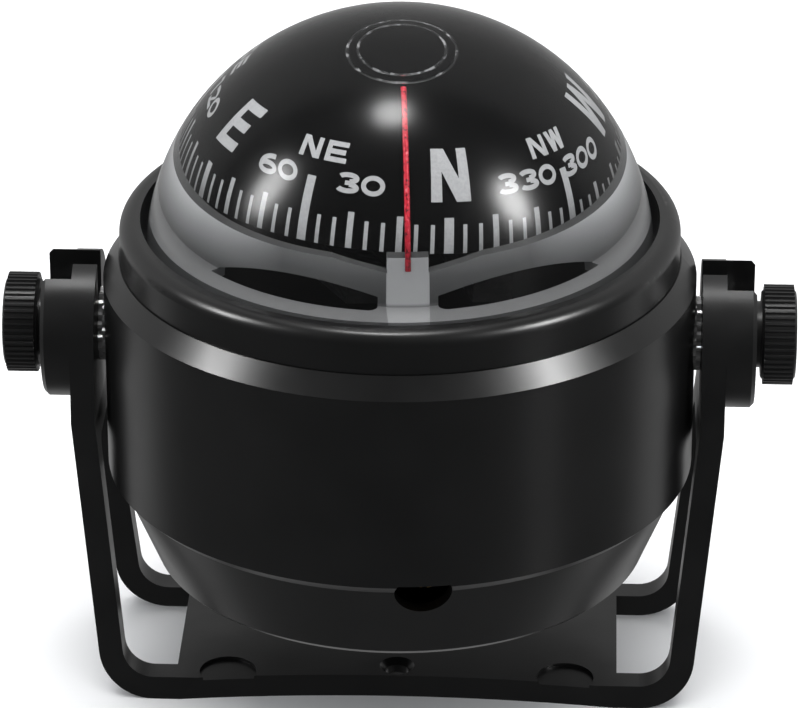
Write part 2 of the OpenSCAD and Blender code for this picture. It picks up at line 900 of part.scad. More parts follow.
module card_float() {
    low = rim_h + 0.1;
    plate_r = sqrt(pow(card_r - card_t - gap, 2) - pow(low + float_t, 2));
    stem_y = 4;
    stem_low = magnet_low_h + magnet_h + gap;
    color([0.1, 0.1, 0.1])
    on_pivot()
    difference() {
        union() {
            z_cyl(plate_r, low, low + float_t);
            z_cyl(hub_r, hub_low_h, hub_h);
            for (s = [-1, 1])
                translate([s * magnet_x - 1, -stem_y / 2, stem_low])
                    cube([2, stem_y, low + float_t / 2 - stem_low]);
        }
        z_cyl(holder_r + gap, hub_low_h - 1, holder_h + gap);
    }
}

module card_magnets() {
    color([0.45, 0.46, 0.48])
    on_pivot()
    for (s = [-1, 1])
        translate([s * magnet_x - magnet_w / 2, -magnet_l / 2, magnet_low_h])
            cube([magnet_w, magnet_l, magnet_h]);
}

// ---------- compensator ----------

module compensator_carrier() {
    low = carrier_z - carrier_t;
    color([0.12, 0.12, 0.13])
    at_axis()
    difference() {
        union() {
            ring(carrier_out_r, carrier_in_r, low, carrier_z);
            for (s = [-1, 1]) {
                translate([ns_x - bearing_w / 2, s * bearing_at - bearing_t / 2, ns_z - bearing_drop])
                    cube([bearing_w, bearing_t, low - ns_z + bearing_drop + eps]);
                translate([s * bearing_at - bearing_t / 2, -bearing_w / 2, ew_z - bearing_drop])
                    cube([bearing_t, bearing_w, low - ew_z + bearing_drop + eps]);
            }
        }
        translate([ns_x, 0, ns_z]) y_cyl(rod_r + gap, -bearing_at - 5, bearing_at + 5);
        translate([0, 0, ew_z]) x_cyl(rod_r + gap, -bearing_at - 5, bearing_at + 5);
        around(2, carrier_screw_turn)
            translate([carrier_screw_r, 0, 0])
            z_cyl(carrier_thread_r + 0.2, low - 1, carrier_z + 1);
    }
}

module carrier_screws() {
    low = carrier_z - carrier_t;
    color([0.62, 0.62, 0.64])
    at_axis()
    around(2, carrier_screw_turn)
        translate([carrier_screw_r, 0, 0])
        difference() {
            union() {
                z_cyl(1.6, low - gap - 1, low - gap);
                z_cyl(carrier_thread_r, low - gap - eps, web_z);
            }
            translate([-0.2, -2, low - gap - 2]) cube([0.4, 4, 1.5]);
        }
}

// Compensator rod along Y with a slotted head at the front
module comp_rod() {
    difference() {
        union() {
            y_cyl(rod_r, -rod_reach, rod_tail);
            y_cyl(rod_head_r, -rod_reach, -rod_reach + rod_head_l);
        }
        translate([-rod_slot / 2, -rod_reach - 1, -rod_head_r - 1]) cube([rod_slot, 2, 2 * rod_head_r + 2]);
    }
}

// Small bar magnet through a rod
module comp_magnet() translate([0, 0, -comp_magnet_l / 2]) cylinder(r = comp_magnet_r, h = comp_magnet_l);

module ns_rod() {
    color([0.8, 0.65, 0.32])
    at_axis() translate([ns_x, 0, ns_z])
    difference() {
        comp_rod();
        translate([0, ns_magnet_y, 0]) scale([1.02, 1.02, 1.1]) comp_magnet();
    }
}

module ns_magnet() {
    color([0.45, 0.46, 0.48])
    at_axis() translate([ns_x, ns_magnet_y, ns_z]) comp_magnet();
}

module ew_rod() {
    color([0.8, 0.65, 0.32])
    at_axis() translate([0, 0, ew_z])
    difference() {
        rotate([0, 0, 90]) comp_rod();
        translate([ew_magnet_x, 0, 0]) scale([1.02, 1.02, 1.1]) comp_magnet();
    }
}

module ew_magnet() {
    color([0.45, 0.46, 0.48])
    at_axis() translate([ew_magnet_x, 0, ew_z]) comp_magnet();
}

// ---------- drawing ----------

bracket();
tooth_washers();
housing();
bottom_cover();
cover_screws();
bezel_ring();
dome();
dome_gasket();
capsule_bowl();
lubber_frame();
lubber_line();
pivot_post();
pivot_pin();
diaphragm();
diaphragm_ring();
diaphragm_screws();
fill_plug();
trunnion_inserts();
compensator_carrier();
carrier_screws();
thrust_washer_left();
thrust_washer_right();
knob_left();
knob_right();
stud_left();
stud_right();
ns_rod();
ns_magnet();
ew_rod();
ew_magnet();
pivot_jewel();
jewel_holder();
card();
card_float();
card_magnets();
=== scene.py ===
"""Looks of the binnacle compass: its materials, the printed dial and the studio."""
import json
import math

import bpy
import numpy as np
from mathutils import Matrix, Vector

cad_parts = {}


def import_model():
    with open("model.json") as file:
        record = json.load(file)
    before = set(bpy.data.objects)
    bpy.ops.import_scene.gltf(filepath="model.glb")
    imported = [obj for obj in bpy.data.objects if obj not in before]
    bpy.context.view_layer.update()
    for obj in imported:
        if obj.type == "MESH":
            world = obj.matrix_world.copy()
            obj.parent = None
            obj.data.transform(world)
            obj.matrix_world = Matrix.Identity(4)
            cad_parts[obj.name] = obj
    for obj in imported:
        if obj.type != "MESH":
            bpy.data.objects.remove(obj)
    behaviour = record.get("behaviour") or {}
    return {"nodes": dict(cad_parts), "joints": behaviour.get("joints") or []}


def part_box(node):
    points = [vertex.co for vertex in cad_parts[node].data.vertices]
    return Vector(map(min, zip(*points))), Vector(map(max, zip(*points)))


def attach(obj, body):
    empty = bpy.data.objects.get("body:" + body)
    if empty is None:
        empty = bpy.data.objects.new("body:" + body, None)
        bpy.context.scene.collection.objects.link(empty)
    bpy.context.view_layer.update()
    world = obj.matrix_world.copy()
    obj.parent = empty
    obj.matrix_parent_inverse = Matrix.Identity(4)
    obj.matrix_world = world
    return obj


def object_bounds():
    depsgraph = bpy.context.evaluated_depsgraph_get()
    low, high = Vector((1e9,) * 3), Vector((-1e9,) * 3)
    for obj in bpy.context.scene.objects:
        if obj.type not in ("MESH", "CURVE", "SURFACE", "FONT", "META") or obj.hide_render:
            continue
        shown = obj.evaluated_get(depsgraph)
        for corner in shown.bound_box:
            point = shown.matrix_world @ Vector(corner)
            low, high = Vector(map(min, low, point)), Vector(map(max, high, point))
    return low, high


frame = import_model()
START_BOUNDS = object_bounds()
MM = 0.001
UP = Vector((0, 0, 1))

# ---------- places read from the frame ----------

JOINTS = {joint["name"]: joint for joint in frame["joints"]}
PIVOT = Vector(JOINTS["tilt"]["pos_m"])
CARD_CENTRE = Vector(JOINTS["card_spin"]["pos_m"])
CARD_UP = Vector(JOINTS["card_spin"]["axis"]).normalized()
CARD_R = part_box("card")[1][2] - CARD_CENTRE.z
DOME_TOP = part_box("dome")[1][2]


def node_points(name):
    """The corner points of a CAD node as an array."""
    return np.array([tuple(v.co) for v in frame["nodes"][name].data.vertices])


def magnet_north():
    """The way along the card's two magnets that points to the front."""
    points = node_points("card_magnets")
    points = points - points.mean(axis=0)
    values, vectors = np.linalg.eigh(points.T @ points)
    north = Vector(vectors[:, int(values.argmax())])
    north = (north - CARD_UP * north.dot(CARD_UP)).normalized()
    return north if north.y < 0 else -north


NORTH = magnet_north()
EAST = NORTH.cross(CARD_UP)


def dome_sphere():
    """Centre and outer radius of the dome's sphere, from its top and its widest points partway down."""
    points = node_points("dome")
    clear_height = DOME_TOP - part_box("bezel_ring")[1][2]
    level = DOME_TOP - 0.6 * clear_height
    band = 0.8 * MM
    near = points[np.abs(points[:, 2] - level) < band]
    reach = np.hypot(near[:, 0], near[:, 1])
    widest = int(reach.argmax())
    drop = DOME_TOP - near[widest, 2]
    radius = (reach[widest] ** 2 + drop ** 2) / (2 * drop)
    return Vector((0, 0, DOME_TOP - radius)), radius


DOME_CENTRE, DOME_R = dome_sphere()
DOME_INNER_R = DOME_R - 1.0 * MM     # the dome's inner face lies within this radius
DOME_MARK_R = DOME_R - 0.08 * MM     # of the outer face, only the grooves near the top lie within this one
BEND_IOR = 1.45                      # bends the view of what lies under the dome
GLOSS_IOR = 1.38                     # sets how much the dome's outer face reflects


# ---------- where the frame's painted light and shade change ---

DECK_TOP = 0.54              # shares of the frame's height
WALL_FOOT = 0.57
WALL_HIGH = 0.8
WALL_TOP = 0.95
SIDE_FROM = 14 * MM          # from here to SIDE_TO the wall's painted light grows, measured from the lubber line's plane
SIDE_TO = 25 * MM
POST_HALF = 2.45 * MM        # half the width of the lubber post
LEVEL = 0.7                  # a face whose normal rises more than this counts as level


# ---------- material helpers ----------

class Shader:
    """A new material with short ways to add and join shader nodes."""

    def __init__(self, name):
        self.material = bpy.data.materials.new(name)
        self.material.use_nodes = True
        self.tree = self.material.node_tree
        self.bsdf = self.tree.nodes["Principled BSDF"]
        self.output = self.tree.nodes["Material Output"]
        texture = self.add("ShaderNodeTexCoord")
        self.coords = texture.outputs["Object"]
        self.normal = texture.outputs["Normal"]

    def add(self, kind, **settings):
        """A new node with these settings."""
        node = self.tree.nodes.new(kind)
        for key, value in settings.items():
            setattr(node, key, value)
        return node

    def join(self, source, target):
        """A link from an output to an input."""
        self.tree.links.new(source, target)

    def set(self, **values):
        """Fixed values on the main shader. Underscores in the names stand for spaces."""
        for key, value in values.items():
            self.bsdf.inputs[key.replace("_", " ")].default_value = value

    def noise(self, size_mm, detail=4.0, stretch=(1, 1, 1)):
        """Noise whose features are about size_mm across."""
        mapping = self.add("ShaderNodeMapping")
        mapping.inputs["Scale"].default_value = [1 / (size_mm * MM) * s for s in stretch]
        noise = self.add("ShaderNodeTexNoise")
        noise.inputs["Scale"].default_value = 1.0
        noise.inputs["Detail"].default_value = detail
        self.join(self.coords, mapping.inputs["Vector"])
        self.join(mapping.outputs["Vector"], noise.inputs["Vector"])
        return noise.outputs["Fac"]

    def ramp(self, source, stops):
        """Colour ramp over source. stops holds (place, colour) pairs."""
        ramp = self.add("ShaderNodeValToRGB")
        elements = ramp.color_ramp.elements
        elements[0].position = stops[0][0]
        elements[1].position = stops[-1][0]
        for place, colour in stops[1:-1]:
            elements.new(place)
        for element, (place, colour) in zip(elements, stops):
            element.color = (*colour, 1)
        self.join(source, ramp.inputs["Fac"])
        return ramp.outputs["Color"]

    def span(self, source, low, high, from_low=0.3, from_high=0.7):
        """source stretched so that from_low..from_high becomes low..high."""
        node = self.add("ShaderNodeMapRange")
        node.inputs["From Min"].default_value = from_low
        node.inputs["From Max"].default_value = from_high
        node.inputs["To Min"].default_value = low
        node.inputs["To Max"].default_value = high
        self.join(source, node.inputs["Value"])
        return node.outputs["Result"]

    def mottle(self, size_mm, dark, light):
        """Blotches about size_mm across, from dark to light."""
        return self.ramp(self.noise(size_mm), [(0.3, dark), (0.7, light)])

    def surface(self, colour, rough_mm, rough):
        """Joins a colour and an uneven roughness to the main shader."""
        self.join(colour, self.bsdf.inputs["Base Color"])
        self.join(self.span(self.noise(rough_mm), *rough), self.bsdf.inputs["Roughness"])

    def math(self, operation, first, second=None):
        """The result of a math node. Each operand is an output or a number."""
        node = self.add("ShaderNodeMath", operation=operation)
        for place, value in enumerate((first, second)):
            if value is None:
                continue
            if isinstance(value, (int, float)):
                node.inputs[place].default_value = value
            else:
                self.join(value, node.inputs[place])
        return node.outputs["Value"]

    def along(self, way):
        """How far the surface point lies along a direction from the origin, in metres."""
        node = self.add("ShaderNodeVectorMath", operation="DOT_PRODUCT")
        node.inputs[1].default_value = way
        self.join(self.coords, node.inputs[0])
        return node.outputs["Value"]

    def share_of_height(self, name):
        """0 at the foot of a CAD node's box and 1 at its top."""
        low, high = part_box(name)
        return self.span(self.along(UP), 0, 1, low[2], high[2])

    def blend(self, factor, first, second):
        """The first colour where factor is 0 and the second where it is 1."""
        node = self.add("ShaderNodeMix", data_type="RGBA")
        self.join(factor, node.inputs["Factor"])
        self.join(first, node.inputs["A"])
        self.join(second, node.inputs["B"])
        return node.outputs["Result"]

    def mix_shaders(self, factor, first, second):
        """The first shader node where factor is 0 and the second where it is 1."""
        node = self.add("ShaderNodeMixShader")
        self.join(factor, node.inputs["Fac"])
        self.join(first.outputs[0], node.inputs[1])
        self.join(second.outputs[0], node.inputs[2])
        return node

    def bump(self, source, depth_mm, strength=0.4):
        """Relief of this depth where source is 1."""
        bump = self.add("ShaderNodeBump")
        bump.inputs["Strength"].default_value = strength
        bump.inputs["Distance"].default_value = depth_mm * MM
        self.join(source, bump.inputs["Height"])
        self.join(bump.outputs["Normal"], self.bsdf.inputs["Normal"])


def shade(value):
    """A neutral grey."""
    return (value, value, value)


def moulded_plastic(name, dark, light, rough, grain_mm, specular, depth_mm=0.01):
    """Moulded plastic with faint mottling, uneven gloss and a fine skin."""
    s = Shader(name)
    s.surface(s.mottle(9.0, dark, light), 5.0, rough)
    s.set(Specular_IOR_Level=specular)
    s.bump(s.noise(grain_mm, detail=2.0), depth_mm)
    return s.material


def grey_frame_with_painted_light(name):
    """Grey plastic, mid-grey on the deck, with painted light and shade: a pale lubber post, a wall dark at
    its foot and palest at the sides, dark level ledges.
    """
    s = Shader(name)
    line_low, line_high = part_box("lubber_line")
    ahead = Vector((line_low[0] + line_high[0], line_low[1] + line_high[1], 0)).normalized()
    height = s.share_of_height("lubber_frame")
    aside = s.math("ABSOLUTE", s.along(ahead.cross(UP)))
    # painted shade: at the front the wall is darker towards its foot
    front_painted_shade = s.ramp(height, [(DECK_TOP, shade(0.115)), (WALL_FOOT, shade(0.06)), (WALL_HIGH, shade(0.08)),
                            (WALL_TOP, shade(0.12))])
    # painted light: at the sides the wall is paler, most of all towards its top
    side = s.ramp(height, [(DECK_TOP, shade(0.1)), (WALL_FOOT, shade(0.13)), (WALL_TOP, shade(0.55))])
    wall_painted_tone = s.blend(s.span(aside, 0, 1, SIDE_FROM, SIDE_TO), front_painted_shade, side)
    # painted light: the lubber post is paler than the wall, palest near the wall's foot
    post_painted_light = s.ramp(height, [(DECK_TOP, shade(0.2)), (WALL_FOOT, shade(0.42)), (WALL_TOP, shade(0.27))])
    near_line = s.math("LESS_THAN", aside, POST_HALF)
    in_front = s.math("GREATER_THAN", s.along(ahead), 0.0)
    wall_and_post_painted = s.blend(s.math("MULTIPLY", near_line, in_front), wall_painted_tone, post_painted_light)
    # painted shade: level ledges above the wall's foot are nearly black
    normal = s.add("ShaderNodeSeparateXYZ")
    s.join(s.normal, normal.inputs["Vector"])
    level = s.math("GREATER_THAN", normal.outputs["Z"], LEVEL)
    ledge_painted_shade = s.math("MULTIPLY", level, s.math("GREATER_THAN", height, WALL_FOOT))
    s.surface(s.blend(ledge_painted_shade, wall_and_post_painted, s.mottle(4.0, shade(0.035), shade(0.045))), 5.0, (0.35, 0.5))
    s.set(Specular_IOR_Level=0.3)
    s.bump(s.noise(0.5, detail=2.0), 0.01)
    return s.material


def metal(name, dark, light, rough):
    """Metal with fine drawn lines and tarnish."""
    s = Shader(name)
    lines = s.noise(1.5, stretch=(1, 1, 12))
    s.join(s.ramp(s.noise(2.5), [(0.3, dark), (0.75, light)]), s.bsdf.inputs["Base Color"])
    s.join(s.span(lines, *rough), s.bsdf.inputs["Roughness"])
    s.set(Metallic=1.0)
    s.bump(lines, 0.01)
    return s.material


def rubber(name):
    """Dull black rubber with a coarse skin."""
    s = Shader(name)
    s.surface(s.mottle(3.0, shade(0.012), shade(0.03)), 1.0, (0.6, 0.85))
    s.bump(s.noise(0.4), 0.03)
    return s.material


def jewel(name):
    """Polished dark red stone."""
    s = Shader(name)
    s.surface(s.mottle(0.8, (0.3, 0.01, 0.05), (0.6, 0.03, 0.12)), 0.5, (0.04, 0.12))
    return s.material


def lubber_red(name):
    """Red strip with dark and pale flecks, darker towards its foot."""
    s = Shader(name)
    red = s.ramp(s.noise(0.45, detail=3.0), [(0.36, (0.08, 0.0, 0.004)), (0.46, (0.42, 0.006, 0.02)),
                                             (0.62, (0.5, 0.015, 0.035)), (0.72, (0.62, 0.16, 0.18))])
    foot = s.ramp(s.noise(0.45), [(0.4, (0.05, 0.0, 0.002)), (0.6, (0.2, 0.004, 0.012))])
    near_foot = s.span(s.share_of_height("lubber_line"), 1, 0, 0.0, 0.35)
    s.surface(s.blend(near_foot, red, foot), 0.8, (0.25, 0.5))
    s.set(Specular_IOR_Level=0.2)
    s.bump(s.noise(0.3), 0.05)
    return s.material


def dial_white(name):
    """Printed white with a faint speckle."""
    s = Shader(name)
    s.surface(s.mottle(0.35, shade(0.32), shade(0.38)), 1.0, (0.45, 0.6))
    s.set(Specular_IOR_Level=0.05)
    s.bump(s.noise(0.2), 0.01)
    return s.material


def clear_dome(name):
    """Clear plastic with liquid right behind it: light bends at the outer face only.

    The grooves of the moulding mark near the top get painted glints: flecks of white diffuse."""
    s = Shader(name)
    offset = s.add("ShaderNodeVectorMath", operation="DISTANCE")
    offset.inputs[1].default_value = DOME_CENTRE
    s.join(s.coords, offset.inputs[0])
    radius = offset.outputs["Value"]

    glass = s.add("ShaderNodeBsdfRefraction")
    glass.inputs["IOR"].default_value = BEND_IOR
    glass.inputs["Roughness"].default_value = 0.0
    s.join(s.mottle(14.0, (0.93, 0.94, 0.945), (0.96, 0.965, 0.97)), glass.inputs["Color"])
    gloss = s.add("ShaderNodeBsdfGlossy")
    s.join(s.span(s.noise(7.0), 0.19, 0.22), gloss.inputs["Roughness"])
    fresnel = s.add("ShaderNodeFresnel")
    fresnel.inputs["IOR"].default_value = GLOSS_IOR
    outer = s.mix_shaders(fresnel.outputs["Fac"], glass, gloss)

    # painted glints: white flecks in the grooves of the moulding mark
    groove = s.math("LESS_THAN", radius, DOME_MARK_R)
    painted_glint = s.math("MULTIPLY", groove, s.span(s.noise(1.6), 0.02, 0.3, 0.5, 0.62))
    with_painted_glints = s.mix_shaders(painted_glint, outer, s.add("ShaderNodeBsdfDiffuse"))

    path = s.add("ShaderNodeLightPath")
    lit = s.math("MAXIMUM", path.outputs["Is Shadow Ray"], path.outputs["Is Diffuse Ray"])
    open_way = s.math("MAXIMUM", lit, s.math("LESS_THAN", radius, DOME_INNER_R))
    final = s.mix_shaders(open_way, with_painted_glints, s.add("ShaderNodeBsdfTransparent"))
    s.join(final.outputs[0], s.output.inputs["Surface"])
    s.tree.nodes.remove(s.bsdf)
    return s.material


def pale_floor(name):
    """Matt paper-white studio floor."""
    s = Shader(name)
    s.surface(s.mottle(60.0, shade(0.86), shade(0.88)), 20.0, (0.75, 0.9))
    s.set(Specular_IOR_Level=0.2)
    s.bump(s.noise(3.0), 0.05)
    return s.material


# ---------- materials on the CAD nodes ----------

GLOSS_BLACK = moulded_plastic("gloss_black", shade(0.0022), shade(0.0034), rough=(0.29, 0.33), grain_mm=0.8,
                              specular=0.5, depth_mm=0.002)
SATIN_BLACK = moulded_plastic("satin_black", shade(0.003), shade(0.005), rough=(0.30, 0.40), grain_mm=0.35,
                              specular=0.5)
KNOB_BLACK = moulded_plastic("knob_black", shade(0.004), shade(0.007), rough=(0.28, 0.38), grain_mm=0.3,
                             specular=0.5)
DARK_INNER = moulded_plastic("dark_inner", shade(0.005), shade(0.009), rough=(0.4, 0.55), grain_mm=0.5,
                             specular=0.2)
# grey frame plastic with painted light and shade
GREY_INNER = grey_frame_with_painted_light("grey_inner")
CARD_BLACK = moulded_plastic("card_black", shade(0.002), shade(0.0035), rough=(0.6, 0.7), grain_mm=0.6,
                             specular=0.0, depth_mm=0.002)
STEEL = metal("zinc_steel", shade(0.45), shade(0.62), (0.25, 0.45))
BRASS = metal("brass", (0.55, 0.36, 0.13), (0.72, 0.5, 0.2), (0.2, 0.4))
MAGNET = metal("magnet_grey", shade(0.03), shade(0.06), (0.5, 0.7))
DOME_CLEAR = clear_dome("dome_clear")
RUBBER = rubber("rubber_black")
JEWEL = jewel("jewel_red")
LUBBER_RED = lubber_red("lubber_red")
DIAL_WHITE = dial_white("dial_white")

LOOKS = {
    GLOSS_BLACK: ["housing", "bottom_cover", "bezel_ring"],
    SATIN_BLACK: ["bracket"],
    KNOB_BLACK: ["knob_left", "knob_right"],
    DARK_INNER: ["capsule_bowl", "pivot_post", "diaphragm_ring", "compensator_carrier", "card_float"],
    GREY_INNER: ["lubber_frame"],
    CARD_BLACK: ["card"],
    STEEL: ["tooth_washers", "thrust_washer_left", "thrust_washer_right", "stud_left", "stud_right",
            "cover_screws", "diaphragm_screws", "carrier_screws", "pivot_pin"],
    BRASS: ["trunnion_inserts", "fill_plug", "jewel_holder", "ns_rod", "ew_rod"],
    MAGNET: ["card_magnets", "ns_magnet", "ew_magnet"],
    DOME_CLEAR: ["dome"],
    RUBBER: ["dome_gasket", "diaphragm"],
    JEWEL: ["pivot_jewel"],
    LUBBER_RED: ["lubber_line"],
}


def dress_nodes():
    """Puts each look on its CAD nodes."""
    for material, names in LOOKS.items():
        for name in names:
            mesh = frame["nodes"][name].data
            mesh.materials.clear()
            mesh.materials.append(material)


# ---------- the printed dial ----------

PRINT_LIFT = 0.03 * MM       # print above the card's surface
STROKE_LIFT = 0.004 * MM     # each stroke of a glyph lies this much over the one before
GRID = 0.45 * MM             # longest step along a straight stroke, so that it follows the card's curve
TICK_STEPS = 14
ARC_STEPS = 28


def on_card(heading, rise, lift=0.0):
    """Point on the card at a heading and a rise above its rim plane, both in degrees."""
    h = math.radians(heading)
    e = math.radians(rise)
    way = NORTH * math.cos(h) + EAST * math.sin(h)
    return CARD_CENTRE + (way * math.cos(e) + CARD_UP * math.sin(e)) * (CARD_R + PRINT_LIFT + lift)


class Dial:
    """Collects the strips of the dial's print and turns them into one mesh."""

    def __init__(self):
        self.points = []
        self.faces = []

    def strip(self, lefts, rights):
        """A ribbon between two rows of points."""
        start = len(self.points)
        for left, right in zip(lefts, rights):
            self.points += [left, right]
        for i in range(start, start + 2 * len(lefts) - 2, 2):
            self.faces.append((i, i + 1, i + 3, i + 2))

    def tick(self, heading, low, high, width_mm):
        """A mark of even width that points to the card's top."""
        lefts, rights = [], []
        for i in range(TICK_STEPS + 1):
            rise = low + (high - low) * i / TICK_STEPS
            half = math.degrees(width_mm * MM / 2 / (CARD_R * math.cos(math.radians(rise))))
            lefts.append(on_card(heading + half, rise))
            rights.append(on_card(heading - half, rise))
        self.strip(lefts, rights)

    def glyph(self, strokes, heading, rise, width, height, weight, lean):
        """Draws strokes, given in a unit box centred on 0, 0, at a place on the card. Sizes are in mm."""
        slope = math.tan(math.radians(lean))
        spread = CARD_R * math.cos(math.radians(rise))

        def place(x, y, lift):
            across = heading - math.degrees((x + y * slope) * MM / spread)
            return on_card(across, rise + math.degrees(y * MM / CARD_R), lift)

        for number, stroke in enumerate(strokes):
            sides = stroke(width, height, weight)
            lefts, rights = [], []
            for left, right in zip(*sides):
                lefts.append(place(*left, number * STROKE_LIFT))
                rights.append(place(*right, number * STROKE_LIFT))
            self.strip(lefts, rights)

    def build(self, name):
        """One white mesh of all the strips so far."""
        mesh = bpy.data.meshes.new(name)
        mesh.from_pydata([tuple(p) for p in self.points], [], self.faces)
        mesh.materials.append(DIAL_WHITE)
        piece = bpy.data.objects.new(name, mesh)
        bpy.context.collection.objects.link(piece)
        return piece


def mix(a, b, t):
    """The point at share t of the way from a to b."""
    return (a[0] + (b[0] - a[0]) * t, a[1] + (b[1] - a[1]) * t)


def bar(low_left, low_right, top_left, top_right):
    """A straight-sided stroke. Its corners are functions of width, height and weight."""
    corners = (low_left, low_right, top_left, top_right)

    def stroke(width, height, weight):
        a, b, c, d = (corner(width, height, weight) for corner in corners)
        length = max(math.dist(a, c), math.dist(b, d)) * MM
        steps = max(1, math.ceil(length / GRID))
        shares = [i / steps for i in range(steps + 1)]
        return [mix(a, c, share) for share in shares], [mix(b, d, share) for share in shares]

    return stroke


def at(x, y, dx=0.0, dy=0.0):
    """A corner at a share of the glyph's box plus a share of the stroke's weight."""
    return lambda width, height, weight: (x * width + dx * weight, y * height + dy * weight)


def arc(x, y, across, tall, start, end):
    """A curved stroke with square ends: part of an ellipse, from one angle to another in degrees.

    x and y place its middle. across and tall are its outer size. All four are shares of the glyph's box."""
    def stroke(width, height, weight):
        rx = (across * width - weight) / 2
        ry = (tall * height - weight) / 2
        inner, outer = [], []
        for i in range(ARC_STEPS + 1):
            a = math.radians(start + (end - start) * i / ARC_STEPS)
            cx, cy = x * width + rx * math.cos(a), y * height + ry * math.sin(a)
            nx, ny = ry * math.cos(a), rx * math.sin(a)
            half = weight / 2 / math.hypot(nx, ny)
            outer.append((cx + nx * half, cy + ny * half))
            inner.append((cx - nx * half, cy - ny * half))
        return inner, outer

    return stroke


def stem(x, side):
    """A full-height upright whose edge is at x, widening towards side (1 right, -1 left)."""
    return bar(at(x, -0.5), at(x, -0.5, side), at(x, 0.5), at(x, 0.5, side))


def shelf(y, side, left=-0.5, right=0.5):
    """A level stroke whose edge is at y, thickening towards side (1 up, -1 down)."""
    return bar(at(left, y), at(left, y, 0, side), at(right, y), at(right, y, 0, side))


def slant(low, top, wide=1.15):
    """A sloping stroke between a place on the base line and one on the top line."""
    half = wide / 2
    return bar(at(low, -0.5, -half), at(low, -0.5, half), at(top, 0.5, -half), at(top, 0.5, half))


def middle(left, right, weight=1.0):
    """A level stroke through the glyph's middle."""
    half = weight / 2
    return bar(at(left, 0, 0, -half), at(left, 0, 0, half), at(right, 0, 0, -half), at(right, 0, 0, half))


# Each glyph fills a box from -0.5 to 0.5 both ways. The sizes of ends are shares of the stroke's weight.
GLYPHS = {
    "N": [stem(-0.5, 1), stem(0.5, -1),
          bar(at(0.5, -0.5, -1.3), at(0.5, -0.5), at(-0.5, 0.5), at(-0.5, 0.5, 1.3))],
    "E": [stem(-0.5, 1), shelf(0.5, -1), shelf(-0.5, 1), middle(-0.5, 0.42)],
    "W": [slant(-0.24, -0.43), slant(-0.24, 0.0, 1.0), slant(0.24, 0.0, 1.0), slant(0.24, 0.43)],
    "S": [arc(0, 0.235, 1, 0.53, 25, 270), arc(0, -0.235, 1, 0.53, 90, -155)],
    "0": [arc(0, 0, 1, 1, 0, 360)],
    "1": [stem(0.1, 1), bar(at(-0.25, 0.2), at(-0.25, 0.2, 0, 0.9), at(0.12, 0.5, 0, -0.9), at(0.12, 0.5))],
    "2": [arc(0, 0.22, 1, 0.56, 165, -35), shelf(-0.5, 1),
          bar(at(-0.5, -0.5), at(-0.5, -0.5, 1.2), at(0.5, 0.12, -1.3), at(0.5, 0.12, -0.1))],
    "3": [arc(0, 0.235, 0.94, 0.56, 160, -80), arc(0, -0.22, 1, 0.56, 80, -160), middle(-0.12, 0.14, 0.9)],
    "4": [stem(0.36, -1), shelf(-0.28, 1),
          bar(at(-0.5, -0.28), at(-0.5, -0.28, 1.3), at(0.36, 0.5, -1.5), at(0.36, 0.5))],
    "5": [arc(0, -0.18, 1, 0.64, 110, -150), shelf(0.5, -1, -0.4, 0.45),
          bar(at(-0.42, -0.02), at(-0.42, -0.02, 1), at(-0.36, 0.5), at(-0.36, 0.5, 1))],
    "6": [arc(0, -0.17, 1, 0.66, 0, 360), arc(0.27, -0.14, 1.54, 1.28, 82, 172)],
}

TICK_FOOT = 0.7              # degrees above the card's rim plane

# each 5 degrees takes the first of these marks that divides its heading: step, top in degrees and width in mm
TICKS = [(90, 11.5, 1.1), (45, 20.5, 1.08), (15, 11.7, 0.72), (5, 9.4, 0.46)]

# text: heading and rise of its middle and how far its strokes lean towards a lower heading, all in degrees
FIGURES = {"30": (28.4, 20.2, 0), "60": (58.6, 20.2, -12), "120": (118.3, 21.4, 0), "150": (148, 20.2, 0),
           "210": (212, 20.2, 0), "240": (243.5, 20.2, 0), "300": (302.4, 20.2, 12), "330": (331, 20.2, 0)}
POINTS = {"NE": (43.5, 29.1, 0), "SE": (131, 31.0, 4), "SW": (229, 31.0, -4), "NW": (318, 29.1, 0)}

# the same, then width and height in mm
CARDINALS = {"N": (-0.8, 24.5, 0, 4.4, 6.2), "E": (84.3, 26.2, 17, 4.4, 6.2),
             "S": (180, 26.2, 0, 4.4, 6.2), "W": (275.6, 27.2, -17, 6.6, 7.2)}

# width, height and weight of a glyph and the distance from one to the next, in mm
FIGURE_SIZE = (2.75, 2.37, 0.56, 2.95)
POINT_SIZE = (2.6, 2.5, 0.6, 3.25)
CARDINAL_WEIGHT = 1.22


def write(dial, text, place, size):
    """Writes text along the card's parallel, centred on its place (heading, rise, lean)."""
    heading, rise, lean = place
    width, height, weight, pitch = size
    spread = CARD_R * math.cos(math.radians(rise))
    for i, letter in enumerate(text):
        shift = (i - (len(text) - 1) / 2) * pitch * MM
        dial.glyph(GLYPHS[letter], heading - math.degrees(shift / spread), rise, width, height, weight, lean)


def draw_dial():
    """Ticks every 5 degrees, figures every 30 between the quarters, and the eight points."""
    dial = Dial()
    for heading in range(0, 360, 5):
        top, width = next(mark[1:] for mark in TICKS if heading % mark[0] == 0)
        dial.tick(heading, TICK_FOOT, top, width)
    for text, place in FIGURES.items():
        write(dial, text, place, FIGURE_SIZE)
    for text, place in POINTS.items():
        write(dial, text, place, POINT_SIZE)
    for letter, (heading, rise, lean, width, height) in CARDINALS.items():
        dial.glyph(GLYPHS[letter], heading, rise, width, height, CARDINAL_WEIGHT, lean)
    piece = dial.build("card_print")
    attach(piece, "card")


# ---------- studio ----------

FLOOR_HALF = 6.0             # half the floor's side, in metres
FLOOR_DROP = 0.01 * MM       # the floor lies this much under the compass

SKY_COLOUR = (0.95, 0.97, 1.0, 1)
SKY_STRENGTH = 0.9

